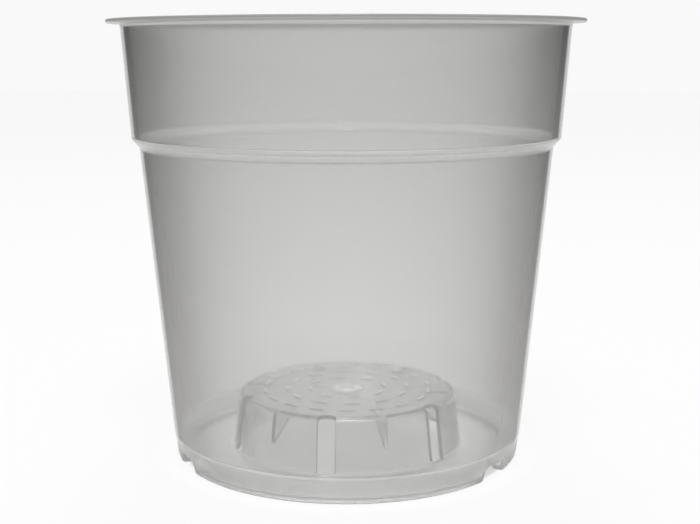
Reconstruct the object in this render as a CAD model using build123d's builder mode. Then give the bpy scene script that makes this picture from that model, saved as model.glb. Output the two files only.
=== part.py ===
from build123d import *
import os
from math import atan2, cos, radians, sin, tan

# Translucent orchid pot with a slotted dome in its base.
# The real pot is one moulding. It is modelled here as its moulded regions, each a closed
# solid, which meet face to face on flat rings. Millimetres, +Z up, origin at the centre of
# the foot on the surface that the pot stands on. The dome's first slot faces -Y.

# Pot as a whole
rim_diameter = 140.0
pot_height = 131.0
wall = 1.2

# Rim flange, collar and shoulder
rim_overhang = 4.0
rim_thickness = 1.2
rim_edge_round = 0.4
rim_flare = 0.8
rim_skirt = 2.0
collar_depth = 34.2
collar_draft = 2.4
shoulder_depth = 2.5
shoulder_inset = 2.2
shoulder_round = 0.8
shoulder_margin = 2.0

# Tapered wall, step and foot
wall_foot_diameter = 106.6
foot_height = 7.0
step_depth = 1.4
step_inset = 0.5
foot_draft = 0.7
heel_height = 3.4
heel_round = 1.6
corner_round = 1.0
foot_land = 2.0
heel_margin = 0.8
floor_lift = 1.4

# Notches through the foot, near every second slot and turned a little past it
notch_count = 3
notch_width = 13.0
notch_height = 4.6
notch_round = 3.0
notch_turn = 5.4

# Dome in the base, with its slots, gussets and gate well
dome_foot_diameter = 70.0
dome_draft = 1.9
dome_height = 16.3
dome_toe = 1.0
cap_skirt = 3.4
cap_round = 2.0
slot_count = 6
slot_width = 5.4
slot_reach = 3.2
slot_toe = 1.0
gusset_drop = 9.3
gusset_reach = 8.2
gusset_thickness = 1.2
gusset_seat = 0.1
gate_well_diameter = 7.0
gate_well_depth = 1.6

# Levels and radii that follow from the sizes above
rim_radius = rim_diameter / 2
rim_under = pot_height - rim_thickness
rim_foot = rim_under - rim_skirt
collar_top_radius = rim_radius - rim_overhang
collar_foot = pot_height - collar_depth
collar_foot_radius = collar_top_radius - collar_draft
shoulder_foot = collar_foot - shoulder_depth
shoulder_foot_radius = collar_foot_radius - shoulder_inset
shoulder_top = collar_foot + shoulder_margin
shoulder_end = shoulder_foot - shoulder_margin
wall_foot_radius = wall_foot_diameter / 2
step_foot = foot_height - step_depth
step_radius = wall_foot_radius - step_inset
foot_radius = step_radius - foot_draft
land_inner_radius = foot_radius - heel_round - foot_land
heel_inner_radius = land_inner_radius - floor_lift - heel_margin
floor_top = floor_lift + wall
dome_top = floor_top + dome_height
dome_foot_radius = dome_foot_diameter / 2
dome_top_radius = dome_foot_radius - dome_draft
panel_top = dome_top - cap_skirt
cap_under = dome_top - wall
slot_pitch = 360 / slot_count
slot_start = -90
notch_pitch = 360 / notch_count
notch_start = slot_start + slot_pitch + notch_turn

# A slanted stretch keeps the wall's thickness when its inner corners are shifted this much
shoulder_shift = wall * tan(atan2(shoulder_inset, shoulder_depth) / 2)
heel_shift = wall * tan(radians(45) / 2)


def collar_radius(z):
    """Outside radius of the collar at a height."""
    return collar_foot_radius + collar_draft * (z - collar_foot) / (rim_under - collar_foot)


def wall_radius(z):
    """Outside radius of the long tapered wall at a height."""
    spread = shoulder_foot_radius - wall_foot_radius
    return wall_foot_radius + spread * (z - foot_height) / (shoulder_foot - foot_height)


def foot_band_radius(z):
    """Outside radius of the band below the step at a height."""
    return foot_radius + foot_draft * z / step_foot


def dome_radius(z):
    """Outside radius of the dome's side at a height."""
    return dome_foot_radius - dome_draft * (z - floor_top) / dome_height


def radial_plane(angle):
    """Upright plane through the axis: its x runs outwards at the angle and its y runs up."""
    turn = radians(angle)
    return Plane(origin=(0, 0, 0), x_dir=(cos(turn), sin(turn), 0), z_dir=(sin(turn), -cos(turn), 0))


def facing_plane(angle):
    """Upright plane through the axis, square to the angle: its normal runs outwards at it."""
    turn = radians(angle)
    return Plane(origin=(0, 0, 0), x_dir=(-sin(turn), cos(turn), 0), z_dir=(cos(turn), sin(turn), 0))


os.makedirs("parts", exist_ok=True)

# Flat flange round the mouth, with its edges broken and the flare that runs into the collar
with BuildPart() as rim_flange:
    with BuildSketch(Plane.XZ) as rim_section:
        with BuildLine():
            side = Line(
                (collar_radius(rim_foot), rim_foot),
                (collar_radius(rim_under - rim_flare), rim_under - rim_flare),
            )
            flare = TangentArc(side @ 1, (collar_top_radius + rim_flare, rim_under), tangent=side % 1)
            Polyline(
                flare @ 1,
                (rim_radius, rim_under),
                (rim_radius, pot_height),
                (collar_top_radius - wall, pot_height),
                (collar_top_radius - wall, rim_under),
                (collar_radius(rim_foot) - wall, rim_foot),
                side @ 0,
            )
        make_face()
        outer_corners = rim_section.vertices().group_by(Axis.X)[-1]
        mouth_corner = rim_section.vertices().group_by(Axis.Y)[-1].sort_by(Axis.X)[0]
        fillet([*outer_corners, mouth_corner], radius=rim_edge_round)
    revolve(axis=Axis.Z)
rim_flange.part.label = "rim_flange"
export_step(rim_flange.part, "parts/rim_flange.step")

# Collar: a drafted band below the flange
with BuildPart() as collar_wall:
    with BuildSketch(Plane.XZ):
        with BuildLine():
            Polyline(
                (collar_radius(shoulder_top), shoulder_top),
                (collar_radius(rim_foot), rim_foot),
                (collar_radius(rim_foot) - wall, rim_foot),
                (collar_radius(shoulder_top) - wall, shoulder_top),
                close=True,
            )
        make_face()
    revolve(axis=Axis.Z)
collar_wall.part.label = "collar_wall"
export_step(collar_wall.part, "parts/collar_wall.step")

# Shoulder: the slanted step between the collar and the long wall
with BuildPart() as shoulder_step:
    with BuildSketch(Plane.XZ):
        with BuildLine():
            outside = FilletPolyline(
                (collar_radius(shoulder_top), shoulder_top),
                (collar_foot_radius, collar_foot),
                (shoulder_foot_radius, shoulder_foot),
                (wall_radius(shoulder_end), shoulder_end),
                radius=shoulder_round,
            )
            inside = FilletPolyline(
                (collar_radius(shoulder_top) - wall, shoulder_top),
                (collar_foot_radius - wall, collar_foot + shoulder_shift),
                (shoulder_foot_radius - wall, shoulder_foot + shoulder_shift),
                (wall_radius(shoulder_end) - wall, shoulder_end),
                radius=shoulder_round,
            )
            Line(outside @ 0, inside @ 0)
            Line(outside @ 1, inside @ 1)
        make_face()
    revolve(axis=Axis.Z)
shoulder_step.part.label = "shoulder_step"
export_step(shoulder_step.part, "parts/shoulder_step.step")

# Long tapered wall from the shoulder down to the step above the foot
with BuildPart() as main_wall:
    with BuildSketch(Plane.XZ):
        with BuildLine():
            Polyline(
                (wall_radius(shoulder_end), shoulder_end),
                (wall_foot_radius, foot_height),
                (wall_foot_radius - wall, foot_height),
                (wall_radius(shoulder_end) - wall, shoulder_end),
                close=True,
            )
        make_face()
    revolve(axis=Axis.Z)
main_wall.part.label = "main_wall"
export_step(main_wall.part, "parts/main_wall.step")

# Band at the foot: it narrows at the step, and the notches reach up into it
with BuildPart() as foot_band:
    with BuildSketch(Plane.XZ):
        with BuildLine():
            Polyline(
                (wall_foot_radius, foot_height),
                (step_radius, step_foot),
                (foot_band_radius(heel_height), heel_height),
                (foot_band_radius(heel_height) - wall, heel_height),
                (step_radius - wall, step_foot),
                (wall_foot_radius - wall, foot_height),
                close=True,
            )
        make_face()
    revolve(axis=Axis.Z)
    with BuildSketch(*[facing_plane(notch_start + number * notch_pitch) for number in range(notch_count)]):
        RectangleRounded(notch_width, 2 * notch_height, notch_round)
    extrude(amount=wall_foot_radius, mode=Mode.SUBTRACT)
foot_band.part.label = "foot_band"
export_step(foot_band.part, "parts/foot_band.step")

# Heel: a rounded bead in three arcs, one between each two notches, on which the pot stands
for number in range(1, notch_count + 1):
    notch_angle = notch_start + (number - 1) * notch_pitch
    with BuildPart() as heel_arc:
        with BuildSketch(radial_plane(notch_angle)):
            with BuildLine():
                outside = FilletPolyline(
                    (foot_band_radius(heel_height), heel_height),
                    (foot_radius, 0),
                    (land_inner_radius, 0),
                    (land_inner_radius - floor_lift, floor_lift),
                    (heel_inner_radius, floor_lift),
                    radius=heel_round,
                )
                inside = FilletPolyline(
                    (foot_band_radius(heel_height) - wall, heel_height),
                    (foot_band_radius(wall) - wall, wall),
                    (land_inner_radius + heel_shift, wall),
                    (land_inner_radius + heel_shift - floor_lift, floor_top),
                    (heel_inner_radius, floor_top),
                    radius=corner_round,
                )
                Line(outside @ 0, inside @ 0)
                Line(outside @ 1, inside @ 1)
            make_face()
        revolve(axis=Axis.Z, revolution_arc=notch_pitch)
        with BuildSketch(facing_plane(notch_angle), facing_plane(notch_angle + notch_pitch)):
            RectangleRounded(notch_width, 2 * notch_height, notch_round)
        extrude(amount=wall_foot_radius, mode=Mode.SUBTRACT)
    heel_arc.part.label = f"heel_arc_{number}"
    export_step(heel_arc.part, f"parts/heel_arc_{number}.step")

# Flat floor between the heel and the dome, cut at its inner edge by the slots' lower ends
with BuildPart() as floor_ring:
    with BuildSketch(Plane.XY.offset(floor_lift)):
        Circle(heel_inner_radius)
        Circle(dome_foot_radius - wall, mode=Mode.SUBTRACT)
        with PolarLocations(dome_foot_radius + slot_toe, slot_count, slot_start):
            Rectangle(dome_foot_radius, slot_width, align=(Align.MAX, Align.CENTER), mode=Mode.SUBTRACT)
    extrude(amount=wall)
floor_ring.part.label = "floor_ring"
export_step(floor_ring.part, "parts/floor_ring.step")

# Side walls of the dome, one between each two slots, each with the gusset that stiffens its top
for number in range(1, slot_count + 1):
    slot_angle = slot_start + (number - 1) * slot_pitch
    with BuildPart() as dome_panel:
        with BuildSketch(radial_plane(slot_angle)):
            with BuildLine():
                Polyline(
                    (dome_foot_radius + dome_toe, floor_top),
                    (dome_radius(floor_top + dome_toe), floor_top + dome_toe),
                    (dome_radius(panel_top), panel_top),
                    (dome_radius(panel_top) - wall, panel_top),
                    (dome_foot_radius - wall, floor_top),
                    close=True,
                )
            make_face()
        revolve(axis=Axis.Z, revolution_arc=slot_pitch)
        with BuildSketch(Plane.XY.offset(floor_top)):
            with PolarLocations(dome_foot_radius, 2, slot_angle, slot_pitch, endpoint=True):
                Rectangle(dome_foot_radius, slot_width)
        extrude(amount=dome_height, mode=Mode.SUBTRACT)
        with BuildSketch(radial_plane(slot_angle + slot_pitch / 2)):
            with BuildLine():
                Polyline(
                    (dome_radius(cap_under - gusset_drop) - wall / 2, cap_under - gusset_drop),
                    (dome_radius(panel_top) - wall / 2, panel_top),
                    (dome_radius(panel_top) - wall - gusset_seat, panel_top),
                    (dome_top_radius - cap_round - gusset_seat, cap_under),
                    (dome_top_radius - wall - gusset_reach, cap_under),
                    close=True,
                )
            make_face()
        extrude(amount=gusset_thickness / 2, both=True)
    dome_panel.part.label = f"dome_panel_{number}"
    export_step(dome_panel.part, f"parts/dome_panel_{number}.step")

# Top of the dome: a shallow inverted dish with the slots' upper ends and the gate well
with BuildPart() as dome_cap:
    with BuildSketch(Plane.XZ):
        with BuildLine():
            outside = FilletPolyline(
                (dome_radius(panel_top), panel_top),
                (dome_top_radius, dome_top),
                (gate_well_diameter / 2, dome_top),
                radius=cap_round,
            )
            inside = FilletPolyline(
                (dome_radius(panel_top) - wall, panel_top),
                (dome_top_radius - wall, cap_under),
                (gate_well_diameter / 2 + wall, cap_under),
                radius=cap_round - wall,
            )
            Line(outside @ 0, inside @ 0)
            Polyline(
                outside @ 1,
                (gate_well_diameter / 2 - gate_well_depth / 2, dome_top - gate_well_depth),
                (0, dome_top - gate_well_depth),
                (0, cap_under - gate_well_depth),
                (gate_well_diameter / 2 + wall - gate_well_depth / 2, cap_under - gate_well_depth),
                inside @ 1,
            )
        make_face()
    revolve(axis=Axis.Z)
    with BuildSketch(Plane.XY.offset(panel_top)):
        with PolarLocations(dome_foot_radius, slot_count, slot_start):
            SlotOverall(2 * (slot_reach + dome_draft), slot_width)
    extrude(amount=cap_skirt, mode=Mode.SUBTRACT)
dome_cap.part.label = "dome_cap"
export_step(dome_cap.part, "parts/dome_cap.step")
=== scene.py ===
import math

import bmesh
import bpy
from mathutils import Matrix, Vector


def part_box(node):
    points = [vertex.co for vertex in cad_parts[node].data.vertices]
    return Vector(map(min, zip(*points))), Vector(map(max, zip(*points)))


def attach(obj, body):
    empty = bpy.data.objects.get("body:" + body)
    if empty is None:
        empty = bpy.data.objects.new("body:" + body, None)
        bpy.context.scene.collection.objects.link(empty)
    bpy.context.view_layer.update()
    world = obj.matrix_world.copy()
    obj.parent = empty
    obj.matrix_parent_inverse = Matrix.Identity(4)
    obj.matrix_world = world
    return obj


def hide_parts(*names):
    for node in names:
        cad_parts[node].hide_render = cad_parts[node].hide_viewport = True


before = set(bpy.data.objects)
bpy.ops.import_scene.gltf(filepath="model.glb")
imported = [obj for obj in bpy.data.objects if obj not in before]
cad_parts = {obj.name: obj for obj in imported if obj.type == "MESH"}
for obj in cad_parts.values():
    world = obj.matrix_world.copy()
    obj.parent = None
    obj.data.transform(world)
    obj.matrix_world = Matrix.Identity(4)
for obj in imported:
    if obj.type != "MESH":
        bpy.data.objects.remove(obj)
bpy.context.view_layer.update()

# Skin of the pot: flange, collar, shoulder, long wall, foot, floor and dome run into one another
# as one moulding of translucent polypropylene. It is turned from one line that starts and ends
# on the axis: up the inside from the dome's top, over the rim, down the outside and back under.
WALL = 0.0012
RIM_OVERHANG = 0.004
RIM_EDGE = 0.0004
RIM_FLARE = 0.0008
SHOULDER_MARGIN = 0.002
SHOULDER_ROUND = 0.0008
STEP_RISE = 0.0009
STEP_DEPTH = 0.0023
STEP_INSET = 0.0005
STEP_ROUND = 0.0006
STEP_BLEND = 0.03
FOOT_DRAFT = 0.0007
FOOT_LAND = 0.002
HEEL_ROUND = 0.0016
HEEL_CORNER = 0.001
HEEL_SLOPE = math.radians(45)
FLOOR_ROUND = 0.0035
DOME_DRAFT = 0.0019
DOME_TOE = 0.001
TOE_ROUND = 0.0015
CAP_ROUND = 0.002
GATE_RADIUS = 0.0035
GATE_DEPTH = 0.0016
GATE_ROUND = 0.0005
SIDES = 240


def between(start, end, height):
    """Point at a height on the line through two (radius, height) points."""
    share = (height - start[1]) / (end[1] - start[1])
    return start[0] + (end[0] - start[0]) * share, height


def rounded(corners, steps=6):
    """A line through (across, up, rounding) corners, each rounded corner turned into an arc."""
    line = [Vector(corners[0][:2])]
    for before, corner, after in zip(corners, corners[1:], corners[2:]):
        here = Vector(corner[:2])
        if corner[2] == 0:
            line.append(here)
            continue
        back = (Vector(before[:2]) - here).normalized()
        onward = (Vector(after[:2]) - here).normalized()
        half = back.angle(onward) / 2
        centre = here + (back + onward).normalized() * corner[2] / math.sin(half)
        start = here + back * corner[2] / math.tan(half) - centre
        end = here + onward * corner[2] / math.tan(half) - centre
        sweep = math.atan2(start.x * end.y - start.y * end.x, start.dot(end))
        for step in range(steps + 1):
            line.append(centre + Matrix.Rotation(sweep * step / steps, 2) @ start)
    line.append(Vector(corners[-1][:2]))
    return line


def held_flat(line, reach=0.0004, least=6):
    """The same line with a point near each end of every long run, so that the run shades flat."""
    held = [line[0]]
    for start, end in zip(line, line[1:]):
        length = (end - start).length
        if length > least * reach:
            held += [start.lerp(end, reach / length), start.lerp(end, 1 - reach / length)]
        held.append(end)
    return held


def turned(line, sides):
    """A closed mesh turned about the axis from a line that starts and ends on it."""
    work = bmesh.new()
    angles = [2 * math.pi * side / sides for side in range(sides)]
    poles = [work.verts.new((0, 0, line[0].y)), work.verts.new((0, 0, line[-1].y))]
    rings = [
        [work.verts.new((point.x * math.cos(a), point.x * math.sin(a), point.y)) for a in angles]
        for point in line[1:-1]
    ]
    for side in range(sides):
        after = (side + 1) % sides
        work.faces.new((poles[0], rings[0][side], rings[0][after]))
        work.faces.new((poles[1], rings[-1][after], rings[-1][side]))
        for ring, onward in zip(rings, rings[1:]):
            work.faces.new((ring[side], onward[side], onward[after], ring[after]))
    bmesh.ops.recalc_face_normals(work, faces=work.faces)
    mesh = bpy.data.meshes.new("turned")
    work.to_mesh(mesh)
    work.free()
    return mesh


rim_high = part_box("rim_flange")[1]
shoulder_low, shoulder_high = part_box("shoulder_step")
main_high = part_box("main_wall")[1]
foot_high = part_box("foot_band")[1]
floor_low, floor_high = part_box("floor_ring")
panel_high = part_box("dome_panel_2")[1]
cap_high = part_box("dome_cap")[1]

rim_radius, rim_top = rim_high.x, rim_high.z
rim_under = rim_top - WALL
collar_top = (rim_radius - RIM_OVERHANG, rim_under)
collar_end = (shoulder_high.x, shoulder_high.z)
collar_foot = between(collar_top, collar_end, shoulder_high.z - SHOULDER_MARGIN)
wall_line = ((main_high.x, main_high.z), (foot_high.x, foot_high.z))
wall_foot = between(*wall_line, foot_high.z + STEP_RISE)
wall_top = between(*wall_line, shoulder_low.z + SHOULDER_MARGIN)
slant = math.atan2(collar_foot[0] - wall_top[0], collar_foot[1] - wall_top[1])
shoulder_shift = WALL * math.tan(slant / 2)
step_foot = (wall_foot[0] - STEP_INSET, wall_foot[1] - STEP_DEPTH)
foot_radius = step_foot[0] - FOOT_DRAFT
inner_foot = between((foot_radius, 0), step_foot, WALL)
land_radius = foot_radius - HEEL_ROUND - FOOT_LAND
floor_lift, floor_top = floor_low.z, floor_high.z
heel_shift = WALL * math.tan(HEEL_SLOPE / 2)
dome_foot = panel_high.x - DOME_TOE
dome_top = dome_foot - DOME_DRAFT
cap_top = cap_high.z
cap_under = cap_top - WALL
dome_line = ((dome_foot, floor_top), (dome_top, cap_top))

inside_line = [
    (0, cap_top - GATE_DEPTH, 0),
    (GATE_RADIUS - GATE_DEPTH / 2, cap_top - GATE_DEPTH, GATE_ROUND),
    (GATE_RADIUS, cap_top, GATE_ROUND),
    (dome_top, cap_top, CAP_ROUND),
    (dome_foot, floor_top, TOE_ROUND),
    (land_radius + heel_shift - floor_lift, floor_top, FLOOR_ROUND),
    (land_radius + heel_shift, WALL, HEEL_CORNER),
    (inner_foot[0] - WALL, WALL, HEEL_CORNER),
    (step_foot[0] - WALL, step_foot[1], STEP_BLEND),
    (wall_foot[0] - WALL, wall_foot[1], STEP_ROUND),
    (wall_top[0] - WALL, wall_top[1] + shoulder_shift, SHOULDER_ROUND),
    (collar_foot[0] - WALL, collar_foot[1] + shoulder_shift, SHOULDER_ROUND),
    (collar_top[0] - WALL, rim_under, RIM_FLARE),
    (collar_top[0] - WALL, rim_top, RIM_EDGE),
]
outside_line = [
    (rim_radius, rim_top, RIM_EDGE),
    (rim_radius, rim_under, RIM_EDGE),
    (*collar_top, RIM_FLARE),
    (*collar_foot, SHOULDER_ROUND),
    (*wall_top, SHOULDER_ROUND),
    (*wall_foot, STEP_ROUND),
    (*step_foot, STEP_BLEND),
    (foot_radius, 0, HEEL_ROUND),
    (land_radius, 0, HEEL_ROUND),
    (land_radius - floor_lift, floor_lift, FLOOR_ROUND - WALL),
    (dome_foot - WALL, floor_lift, TOE_ROUND + WALL),
    (dome_top - WALL, cap_under, CAP_ROUND - WALL),
    (GATE_RADIUS + WALL, cap_under, GATE_ROUND),
    (GATE_RADIUS + WALL - GATE_DEPTH / 2, cap_under - GATE_DEPTH, GATE_ROUND),
    (0, cap_under - GATE_DEPTH, 0),
]
skin_line = held_flat(rounded(inside_line + outside_line))
pot = bpy.data.objects.new("orchid_pot", turned(skin_line, SIDES))
bpy.context.collection.objects.link(pot)

# Slots of the dome: six upright openings that air the roots and drain the pot. Steel cores in the
# mould leave them, each from the floor up the dome's side and a little way over its top.
SLOT_COUNT = 6
SLOT_START = math.radians(-90)
SLOT_WIDTH = 0.0054
SLOT_INNER_ROUND = SLOT_WIDTH * 0.49
SLOT_OUTER_ROUND = SLOT_WIDTH * 0.1
SLOT_REACH = 0.0032
SLOT_TOE = 0.0003
SLOT_CLEARANCE = 0.0008


class Wire:
    """An output of a node that takes part in Python sums, each of which adds a Math node."""

    def __init__(self, nodes, socket):
        self.nodes = nodes
        self.socket = socket

    def sum(self, operation, left, right):
        return self.nodes.add("ShaderNodeMath", {0: left, 1: right}, operation=operation)

    def __add__(self, other):
        return self.sum("ADD", self, other)

    def __radd__(self, other):
        return self.sum("ADD", other, self)

    def __sub__(self, other):
        return self.sum("SUBTRACT", self, other)

    def __rsub__(self, other):
        return self.sum("SUBTRACT", other, self)

    def __mul__(self, other):
        return self.sum("MULTIPLY", self, other)

    def __rmul__(self, other):
        return self.sum("MULTIPLY", other, self)

    def __truediv__(self, other):
        return self.sum("DIVIDE", self, other)

    def __rtruediv__(self, other):
        return self.sum("DIVIDE", other, self)


class Nodes:
    """A node tree that takes a node's type, its sockets' values or wires, and its settings."""

    def __init__(self, tree):
        self.tree = tree

    def add(self, kind, sockets=None, output=0, **settings):
        node = self.tree.nodes.new(kind)
        for name, value in settings.items():
            setattr(node, name, value)
        for key, value in (sockets or {}).items():
            for item in value if isinstance(value, list) else [value]:
                if isinstance(item, Wire):
                    self.tree.links.new(item.socket, node.inputs[key])
                else:
                    node.inputs[key].default_value = item
        return Wire(self, node.outputs[output]) if node.outputs else None


ring_inputs = {
    "Skin": "NodeSocketGeometry",
    "Item": "NodeSocketObject",
    "Count": "NodeSocketInt",
    "Start": "NodeSocketFloat",
    "Plastic": "NodeSocketMaterial",
}


def ring_tree(name, operation):
    """Nodes that set copies of an item in a ring and cut them from the skin or join them to it."""
    tree = bpy.data.node_groups.new(name, "GeometryNodeTree")
    tree.interface.new_socket("Skin", in_out="OUTPUT", socket_type=ring_inputs["Skin"])
    for label, kind in ring_inputs.items():
        tree.interface.new_socket(label, in_out="INPUT", socket_type=kind)
    nodes = Nodes(tree)
    given = tree.nodes.new("NodeGroupInput").outputs
    skin, item, count, start, finish = [Wire(nodes, given[label]) for label in ring_inputs]
    turn = start + nodes.add("GeometryNodeInputIndex") * (2 * math.pi) / count
    ring = nodes.add(
        "GeometryNodeInstanceOnPoints",
        {
            "Points": nodes.add("GeometryNodePoints", {"Count": count}),
            "Instance": nodes.add("GeometryNodeObjectInfo", {"Object": item}, output="Geometry"),
            "Rotation": nodes.add("ShaderNodeCombineXYZ", {"Z": turn}),
        },
    )
    ring = nodes.add("GeometryNodeRealizeInstances", {"Geometry": ring})
    meshes = {"Mesh 2": [skin, ring]}
    if operation == "DIFFERENCE":
        meshes = {"Mesh 1": skin, "Mesh 2": ring}
    worked = nodes.add(
        "GeometryNodeMeshBoolean", meshes, operation=operation, solver="MANIFOLD"
    )
    worked = nodes.add("GeometryNodeRealizeInstances", {"Geometry": worked})
    worked = nodes.add("GeometryNodeSetMaterial", {"Geometry": worked, "Material": finish})
    nodes.add("NodeGroupOutput", {"Skin": worked})
    return tree


def prism(name, outline, low, high, axes):
    """A closed bar: an outline on the first two axes, drawn out along the third."""
    work = bmesh.new()
    ends = []
    for along in (low, high):
        end = []
        for point in outline:
            place = Vector((0, 0, 0))
            place[axes[0]], place[axes[1]], place[axes[2]] = point[0], point[1], along
            end.append(work.verts.new(place))
        work.faces.new(end)
        ends.append(end)
    for here, there in zip(range(-1, len(outline) - 1), range(len(outline))):
        work.faces.new((ends[0][here], ends[0][there], ends[1][there], ends[1][here]))
    bmesh.ops.recalc_face_normals(work, faces=work.faces)
    mesh = bpy.data.meshes.new(name)
    work.to_mesh(mesh)
    work.free()
    return bpy.data.objects.new(name, mesh)


def outline_of(corners):
    """A closed outline through (across, up, rounding) corners, rounded at each."""
    around = [corners[-1], *corners, corners[0]]
    return rounded(around)[1:-1]


def add_ring(tree, item, count, start):
    """Gives the pot one ring of an item."""
    step = pot.modifiers.new(item.name, "NODES")
    step.node_group = tree
    values = {"Item": item, "Count": count, "Start": start, "Plastic": plastic}
    for socket in tree.interface.items_tree:
        if socket.in_out == "INPUT" and socket.name in values:
            step[socket.identifier] = values[socket.name]


plastic = bpy.data.materials.new("hazy_polypropylene_painted_light")
cut_ring = ring_tree("cut_ring", "DIFFERENCE")
slot_inner = dome_top - SLOT_REACH
slot_outer = dome_foot + SLOT_TOE
slot_core = prism(
    "slot_core",
    outline_of(
        [
            (slot_inner, -SLOT_WIDTH / 2, SLOT_INNER_ROUND),
            (slot_outer, -SLOT_WIDTH / 2, SLOT_OUTER_ROUND),
            (slot_outer, SLOT_WIDTH / 2, SLOT_OUTER_ROUND),
            (slot_inner, SLOT_WIDTH / 2, SLOT_INNER_ROUND),
        ]
    ),
    floor_lift - SLOT_CLEARANCE,
    cap_top + SLOT_CLEARANCE,
    (0, 1, 2),
)
add_ring(cut_ring, slot_core, SLOT_COUNT, SLOT_START)

# Notches of the foot: three arched gaps that let water run out from under the pot. They cut the
# wall's lower edge and the heel, so the pot stands on three rounded arcs.
NOTCH_COUNT = 3
NOTCH_START = SLOT_START + math.radians(65.4)
NOTCH_WIDTH = 0.013
NOTCH_HEIGHT = 0.0046
NOTCH_ROUND = 0.003
notch_core = prism(
    "notch_core",
    outline_of(
        [
            (-NOTCH_WIDTH / 2, -NOTCH_HEIGHT, NOTCH_ROUND),
            (NOTCH_WIDTH / 2, -NOTCH_HEIGHT, NOTCH_ROUND),
            (NOTCH_WIDTH / 2, NOTCH_HEIGHT, NOTCH_ROUND),
            (-NOTCH_WIDTH / 2, NOTCH_HEIGHT, NOTCH_ROUND),
        ]
    ),
    floor_high.x,
    rim_radius,
    (1, 2, 0),
)
add_ring(cut_ring, notch_core, NOTCH_COUNT, NOTCH_START)

# Gussets under the dome: a thin triangular rib behind the middle of each panel, moulded with it,
# that stiffens the corner between the panel and the dome's top.
GUSSET_THICKNESS = 0.0012
GUSSET_DROP = 0.0093
GUSSET_REACH = 0.0082
join_ring = ring_tree("join_ring", "UNION")
gusset_foot = between(*dome_line, cap_under - GUSSET_DROP)
gusset = prism(
    "gusset",
    [
        (gusset_foot[0] - WALL / 2, gusset_foot[1]),
        (dome_top - WALL / 2, cap_top - CAP_ROUND),
        (dome_top - CAP_ROUND, cap_top - WALL / 2),
        (dome_top - WALL - GUSSET_REACH, cap_top - WALL / 2),
        (dome_top - WALL - GUSSET_REACH, cap_under),
    ],
    -GUSSET_THICKNESS / 2,
    GUSSET_THICKNESS / 2,
    (0, 2, 1),
)
add_ring(join_ring, gusset, SLOT_COUNT, SLOT_START + math.pi / SLOT_COUNT)

# Marks on the dome's top: rings of short raised bars, cut into the mould as shallow grooves,
# that keep bark from lying flat on it. Each ring has its own radius, count and length of bars.
BAR_RINGS = ((0.0255, 18, 0.0046), (0.0185, 12, 0.0046), (0.0115, 8, 0.004))
BAR_WIDTH = 0.0009
BAR_ROUND = BAR_WIDTH * 0.4
BAR_HEIGHT = 0.0004
for place, count, length in BAR_RINGS:
    bar = prism(
        f"bar_{count}",
        outline_of(
            [
                (place - BAR_WIDTH / 2, -length / 2, BAR_ROUND),
                (place + BAR_WIDTH / 2, -length / 2, BAR_ROUND),
                (place + BAR_WIDTH / 2, length / 2, BAR_ROUND),
                (place - BAR_WIDTH / 2, length / 2, BAR_ROUND),
            ]
        ),
        cap_top - WALL / 2,
        cap_top + BAR_HEIGHT,
        (0, 1, 2),
    )
    add_ring(join_ring, bar, count, SLOT_START + math.pi / count)

# Finish of the moulding: polypropylene, clear with a share of grey haze. The share changes where
# the wall is seen at a slant, and the rim, shoulder, foot, dome and cut edges have their own.
# The colours carry painted light and shade: the clear part and the haze darken towards the top,
# the dark haze seen at a slant darkens the wall's edges, and several zones below hold painted
# light, painted shade and a painted highlight, each noted where it stands.
# The rings above are worked into the skin here, so that its cut faces can be marked.
SHARP_ANGLE = math.radians(38)
NOTCH_SHARE = 1.0
SLOT_SHARE = 0.8
NOTCH_TURN = 0.15
SLOT_TURN = 0.6
ARCH_FACING = -0.9
ARCH_MARGIN = 0.0003
UPRIGHT = 0.5
CAP_MARGIN = 0.0001
SLOT_MARGIN = 0.0002

CLOUD_SCALE = 40.0
CLOUD_DETAIL = 3.0
PLASTIC_IOR = 1.49
WALL_ROUGHNESS = 0.045
CLOUD_ROUGHNESS = 0.05
DOME_ROUGHNESS = 0.12
FOOT_ROUGHNESS = 0.18
HEEL_ROUGHNESS = 0.15

# Painted shade: the clear part and the haze darken from the foot up to the rim, standing in for the
# light from the floor that reaches the lower wall more than the top.
CLEAR_PAINTED_LIT_BELOW = (0.985, 0.985, 0.98, 1)
CLEAR_PAINTED_SHADED_ABOVE = (0.9, 0.9, 0.89, 1)
HAZE_PAINTED_LIT_BELOW = (0.41, 0.405, 0.395, 1)
HAZE_PAINTED_SHADED_ABOVE = (0.06, 0.0595, 0.058, 1)
# Painted shade: the share of dark haze rises where the wall is seen at a slant, which darkens the
# wall's edges, and falls again right at the outline, where the clear plastic shows.
WALL_HAZE_PAINTED_EDGES = (
    (0.0, 0.12), (0.25, 0.2), (0.5, 0.42), (0.7, 0.68), (0.77, 0.88),
    (0.805, 0.86), (0.84, 0.3), (0.9, 0.12), (1.0, 0.1),
)
FOOT_HAZE = 0.37
FOOT_SLANT_HAZE = 0.2
DOME_HAZE = 0.075
TROUGH_HAZE = 0.36
FLANK_HAZE = 0.8
GATE_HAZE = 0.2
BAR_HAZE = 0.2

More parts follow.
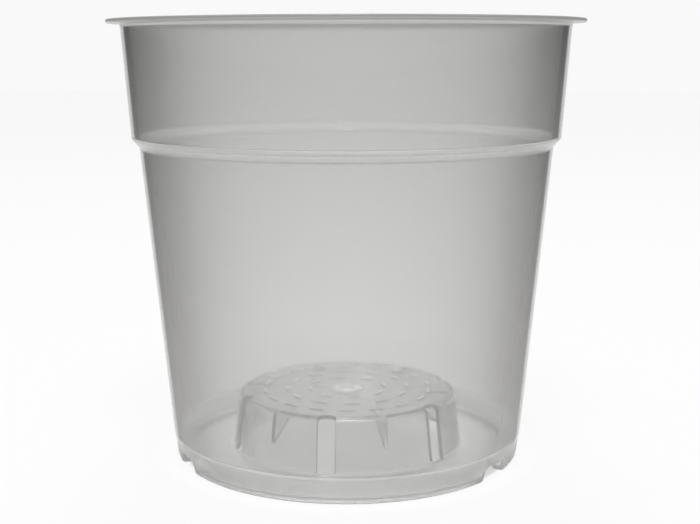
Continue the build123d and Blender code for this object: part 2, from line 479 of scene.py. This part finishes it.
# Limits of the zones: where a share is 0 and where it is 1, or else where it starts, is full,
# fades and ends. Those of edges are measured from the edge.
DOME_RADIUS = (0.051, 0.0495)
TROUGH_RADIUS = (0.0358, 0.0368, 0.044, 0.0465)
FLANK_RADIUS = (0.0328, 0.0332, 0.0358, 0.0368)
GATE_SPOT = (0.0046, 0.004)
OFF_DOME = (0.0346, 0.0356)
DOME_SLANT = (0.35, 0.75)
BELOW_CAP = (-0.0001, -0.0008)
ON_BARS = (0.00005, 0.00015)
FOOT_SLANT = (0.15, 0.5)
FOOT_SLANT_HEIGHT = (0.0015, 0.003)
LOW_HEIGHT = (0.007, 0.004)
HEEL_HEIGHT = (0.0024, 0.0014)
HEEL_EDGE_PAINTED_SHADOW = (0.0007, 0.0003)
FOOT_TOP = (0.0002, -0.0002)
STEP_EDGE_PAINTED_HIGHLIGHT = (-0.0006, -0.0003, 0.0001, 0.0004)
SHOULDER_FOOT_PAINTED_SHADE = (-0.0006, -0.0003, 0.0, 0.0003)
SHOULDER_PAINTED_LIGHT_START = (-0.0003, 0.0001)
SHOULDER_PAINTED_LIGHT_END = (0.0008, 0.0002)
SHOULDER_EDGE_PAINTED_LIGHT = (-0.0007, -0.0004, 0.0004, 0.0008)
RIM_NECK_PAINTED_LIGHT = (-0.0012, -0.0008)
RIM_FACE = (0.0003, 0.0005)

plastic.use_nodes = True
plastic.node_tree.nodes.clear()
look = Nodes(plastic.node_tree)


def curved(nodes, value, stops):
    """A value led through a curve with the given stops, the first at 0 and the last at 1."""
    bent = nodes.add("ShaderNodeFloatCurve", {"Value": value})
    mapping = bent.socket.node.mapping
    mapping.extend = "HORIZONTAL"
    for point, stop in zip(mapping.curves[0].points, (stops[0], stops[-1])):
        point.location = stop
    for stop in stops[1:-1]:
        mapping.curves[0].points.new(*stop)
    mapping.update()
    return bent


def ramp(value, zero, one, edge=0.0):
    """A share that goes from 0 to 1 between two values, measured from an edge."""
    ends = {"Value": value, "From Min": edge + zero, "From Max": edge + one}
    return look.add("ShaderNodeMapRange", ends)


def band(value, start, full, fading, end, edge=0.0):
    """A share that goes from 0 to 1 and back, between values measured from an edge."""
    return ramp(value, start, full, edge) * ramp(value, end, fading, edge)


def blend(share, start, end):
    """A colour between two, by a share."""
    return look.add("ShaderNodeMix", {0: share, 6: start, 7: end}, output=2, data_type="RGBA")


def cut_share(face):
    """How plainly a face shows a cut through the wall: in the notches, a little less in slots."""
    place, facing = face.center, face.normal
    reach = place.xy.length
    sideways = abs(place.xy.cross(facing.xy)) / max(reach, WALL)
    arch = facing.z < ARCH_FACING and abs(place.z - NOTCH_HEIGHT) < ARCH_MARGIN
    if reach > land_radius and (sideways > NOTCH_TURN or arch):
        return NOTCH_SHARE
    depth = between(*dome_line, place.z)[0] - reach
    in_panel = sideways > SLOT_TURN and -SLOT_TOE < depth < WALL
    in_cap = cap_under - CAP_MARGIN < place.z < cap_top and abs(facing.z) < UPRIGHT
    in_end = slot_inner - SLOT_MARGIN < reach < slot_inner + SLOT_WIDTH / 2
    return SLOT_SHARE if in_panel or in_cap and in_end else 0.0


spot = look.add("ShaderNodeTexCoord", output="Object")
cloud = look.add(
    "ShaderNodeTexNoise", {"Vector": spot, "Scale": CLOUD_SCALE, "Detail": CLOUD_DETAIL}
)
slant_view = look.add("ShaderNodeLayerWeight", {"Blend": 0.5}, output="Facing")
across = look.add("ShaderNodeVectorMath", {0: spot, 1: (1, 1, 0)}, operation="MULTIPLY")
radius = look.add("ShaderNodeVectorMath", {0: across}, output="Value", operation="LENGTH")
height = look.add("ShaderNodeSeparateXYZ", {"Vector": spot}, output="Z")
rise = height / rim_top
cut = look.add("ShaderNodeAttribute", output="Fac", attribute_name="cut_share")

dome = ramp(radius, *DOME_RADIUS)
dome_side = ramp(slant_view, *DOME_SLANT) * ramp(height, *BELOW_CAP, edge=cap_top)
trough = TROUGH_HAZE * band(radius, *TROUGH_RADIUS)
flank = FLANK_HAZE * band(radius, *FLANK_RADIUS)
gate = GATE_HAZE * ramp(radius, *GATE_SPOT)
bars = BAR_HAZE * ramp(height, *ON_BARS, edge=cap_top)
dome_haze = DOME_HAZE + dome_side * (trough + flank) + gate + bars
foot_slant = ramp(slant_view, *FOOT_SLANT) * ramp(height, *FOOT_SLANT_HEIGHT)
foot_haze = FOOT_HAZE - FOOT_SLANT_HAZE * foot_slant
off_dome = ramp(radius, *OFF_DOME)
low = ramp(height, *LOW_HEIGHT) * off_dome
heel = ramp(height, *HEEL_HEIGHT) * off_dome
shoulder = ramp(height, *SHOULDER_PAINTED_LIGHT_START, edge=wall_top[1])
shoulder = shoulder * ramp(height, *SHOULDER_PAINTED_LIGHT_END, edge=collar_foot[1])

# Each zone has a share of the surface, its haze and the haze's colour. Later zones lie over earlier.
zones = (
    # Painted light: a lighter haze under the rim lifts the shade on the rim's underside and the
    # collar just below it.
    (ramp(height, *RIM_NECK_PAINTED_LIGHT, edge=rim_under), 0.5, (0.6, 0.6, 0.59, 1)),
    (ramp(height, *RIM_FACE, edge=rim_under), 0.8, (0.27, 0.27, 0.263, 1)),
    # Painted light: a lighter band of haze on the shoulder, which faces down and gets less light.
    (shoulder, 0.2, (0.5, 0.5, 0.49, 1)),
    # Painted light: a light haze over the shoulder's upper rounding hides the dark line that it
    # shows.
    (band(height, *SHOULDER_EDGE_PAINTED_LIGHT, edge=collar_foot[1]), 0.5, (0.62, 0.62, 0.61, 1)),
    # Painted shade: a thin dark line of haze in the crease at the shoulder's foot.
    (band(height, *SHOULDER_FOOT_PAINTED_SHADE, edge=wall_top[1]), 0.25, (0.22, 0.22, 0.215, 1)),
    (ramp(height, *FOOT_TOP, edge=wall_foot[1]), foot_haze, (0.6, 0.6, 0.59, 1)),
    # Painted highlight: a thin light line of haze along the step above the foot.
    (band(height, *STEP_EDGE_PAINTED_HIGHLIGHT, edge=wall_foot[1]), 0.33, (0.8, 0.8, 0.79, 1)),
    # Painted shadow: dark haze along the heel's bottom edge, where the pot meets the floor.
    (ramp(height, *HEEL_EDGE_PAINTED_SHADOW), 0.8, (0.22, 0.22, 0.216, 1)),
    # Painted light: the dome's haze is near white, lighter than the wall's, to brighten the dim
    # inside of the pot.
    (dome, dome_haze, (0.95, 0.95, 0.955, 1)),
    # Painted light: the cut faces of slots and notches take a light haze, standing in for the light
    # that comes through the thin shell around them.
    (cut, 0.8, (0.8, 0.8, 0.79, 1)),
)
# The haze share by slant paints the wall's edges dark.
haze_share = curved(look, slant_view, WALL_HAZE_PAINTED_EDGES)
# The haze's colour darkens towards the top as painted shade.
haze_colour_with_painted_light = blend(rise, HAZE_PAINTED_LIT_BELOW, HAZE_PAINTED_SHADED_ABOVE)
for share, zone_haze, zone_colour in zones:
    haze_share = haze_share + share * (zone_haze - haze_share)
    haze_colour_with_painted_light = blend(share, haze_colour_with_painted_light, zone_colour)

roughness = WALL_ROUGHNESS + CLOUD_ROUGHNESS * cloud + DOME_ROUGHNESS * dome
roughness = roughness + FOOT_ROUGHNESS * low + HEEL_ROUGHNESS * heel
# The clear part's colour darkens towards the top as painted shade.
clear = look.add(
    "ShaderNodeBsdfPrincipled",
    {
        "Base Color": blend(rise, CLEAR_PAINTED_LIT_BELOW, CLEAR_PAINTED_SHADED_ABOVE),
        "Roughness": roughness,
        "IOR": PLASTIC_IOR,
        "Transmission Weight": 1.0,
    },
)
haze = look.add(
    "ShaderNodeBsdfPrincipled",
    {"Base Color": haze_colour_with_painted_light, "Roughness": 1.0, "Specular IOR Level": 0.0},
)
surface = look.add("ShaderNodeMixShader", {0: haze_share, 1: clear, 2: haze})
look.add("ShaderNodeOutputMaterial", {"Surface": surface})

bpy.context.view_layer.update()
worked_pot = pot.evaluated_get(bpy.context.evaluated_depsgraph_get())
moulded = bpy.data.meshes.new_from_object(worked_pot)
pot.modifiers.clear()
pot.data = moulded
cut_shares = moulded.attributes.new("cut_share", "FLOAT", "FACE")
cut_shares.data.foreach_set("value", [cut_share(face) for face in moulded.polygons])
moulded.shade_smooth()
moulded.set_sharp_from_angle(angle=SHARP_ANGLE)
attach(pot, "root")
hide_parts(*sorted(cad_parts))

# Floor and background: a sheet of white paper in even light, with a softbox in front of the pot and
# a weaker one behind it. Straight views, gloss and glass see the paper as white. Under the pot its
# glow is painted darker, a painted shadow of light grey where less light gets in.
WHITE = 0.947
PAPER = 0.6
SHADED_SHARE = 0.08
GLOW = 0.975
# Painted shadow: the paper's glow is light grey under the dome and under the heel.
UNDER_DOME_PAINTED_SHADOW = 0.675
FLOOR_REACH = 0.06
FLOOR_GLOW_PAINTED_SHADOW = (
    (0.0, UNDER_DOME_PAINTED_SHADOW), (0.483, UNDER_DOME_PAINTED_SHADOW), (0.633, 0.82), (0.8, 0.66), (0.825, 0.7),
    (0.85, GLOW), (1.0, GLOW),
)
GROUND_SIZE = 6
LIGHT_ROUND = 0.75
SOFTBOX_SIZE = 0.4
SOFTBOXES = (
    ("front_softbox", (0.09, -0.5, 1.1), 12),
    ("back_softbox", (-0.1, 0.38, 1.1), 7),
)


def seen_straight(nodes):
    """1 for rays that show the background, straight or by gloss and glass, else 0."""
    path = nodes.tree.nodes.new("ShaderNodeLightPath").outputs
    kinds = [
        Wire(nodes, path[f"Is {kind} Ray"]) for kind in ("Camera", "Glossy", "Transmission")
    ]
    bounces = Wire(nodes, path["Diffuse Depth"])
    direct = nodes.add("ShaderNodeMath", {0: bounces, 1: 0.5}, operation="LESS_THAN")
    shown = kinds[0] + kinds[1] + kinds[2]
    return nodes.add("ShaderNodeMath", {0: shown, 1: 1.0}, operation="MINIMUM") * direct


bpy.ops.mesh.primitive_plane_add(size=GROUND_SIZE)
ground = bpy.context.object
ground.name = "ground"
paper = bpy.data.materials.new("white_paper")
paper.use_nodes = True
paper.node_tree.nodes.clear()
sheet = Nodes(paper.node_tree)
point = sheet.add("ShaderNodeTexCoord", output="Object")
away = sheet.add("ShaderNodeVectorMath", {0: point}, output="Value", operation="LENGTH")
# The glow holds a painted shadow under the pot.
glow_with_painted_shadow = curved(sheet, away / FLOOR_REACH, FLOOR_GLOW_PAINTED_SHADOW)
paper_surface = sheet.add(
    "ShaderNodeMixShader",
    {
        0: seen_straight(sheet) * (1 - SHADED_SHARE),
        1: sheet.add("ShaderNodeBsdfDiffuse", {"Color": (PAPER, PAPER, PAPER, 1)}),
        2: sheet.add("ShaderNodeEmission", {"Color": glow_with_painted_shadow}),
    },
)
sheet.add("ShaderNodeOutputMaterial", {"Surface": paper_surface})
ground.data.materials.append(paper)

world = bpy.data.worlds.new("studio")
bpy.context.scene.world = world
world.use_nodes = True
world.node_tree.nodes.clear()
sky = Nodes(world.node_tree)
strength = LIGHT_ROUND + seen_straight(sky) * (WHITE - LIGHT_ROUND)
backdrop = sky.add("ShaderNodeBackground", {"Color": (1, 1, 1, 1), "Strength": strength})
sky.add("ShaderNodeOutputWorld", {"Surface": backdrop})

for name, place, energy in SOFTBOXES:
    light = bpy.data.lights.new(name, "AREA")
    light.shape = "DISK"
    light.size = SOFTBOX_SIZE
    light.energy = energy
    softbox = bpy.data.objects.new(name, light)
    bpy.context.collection.objects.link(softbox)
    softbox.location = place
    softbox.rotation_euler = softbox.location.to_track_quat("Z", "Y").to_euler()

# Camera at the photograph's place: a little below the rim's height and turned down to the foot.
CAMERA_DISTANCE = 0.37471
CAMERA_HEIGHT = 0.123515
CAMERA_TURN = math.radians(10.4)
CAMERA_PITCH = math.radians(9.88)
CAMERA_ROLL = math.radians(-0.126)
CAMERA_YAW = math.radians(-0.145)
FOCAL_PIXELS = 1245.1
IMAGE_WIDTH = 700
SENSOR_WIDTH = 36
CLIP_START = 0.01
lens = bpy.data.cameras.new("photo_camera")
lens.sensor_width = SENSOR_WIDTH
lens.lens = FOCAL_PIXELS * SENSOR_WIDTH / IMAGE_WIDTH
lens.clip_start = CLIP_START
camera = bpy.data.objects.new("photo_camera", lens)
bpy.context.collection.objects.link(camera)
camera_place = (
    CAMERA_DISTANCE * math.sin(CAMERA_TURN),
    -CAMERA_DISTANCE * math.cos(CAMERA_TURN),
    CAMERA_HEIGHT,
)
camera.matrix_world = (
    Matrix.Translation(camera_place)
    @ Matrix.Rotation(CAMERA_TURN + CAMERA_YAW, 4, "Z")
    @ Matrix.Rotation(math.pi / 2 - CAMERA_PITCH, 4, "X")
    @ Matrix.Rotation(CAMERA_ROLL, 4, "Z")
)
bpy.context.scene.camera = camera
bpy.context.scene.view_settings.view_transform = "Standard"
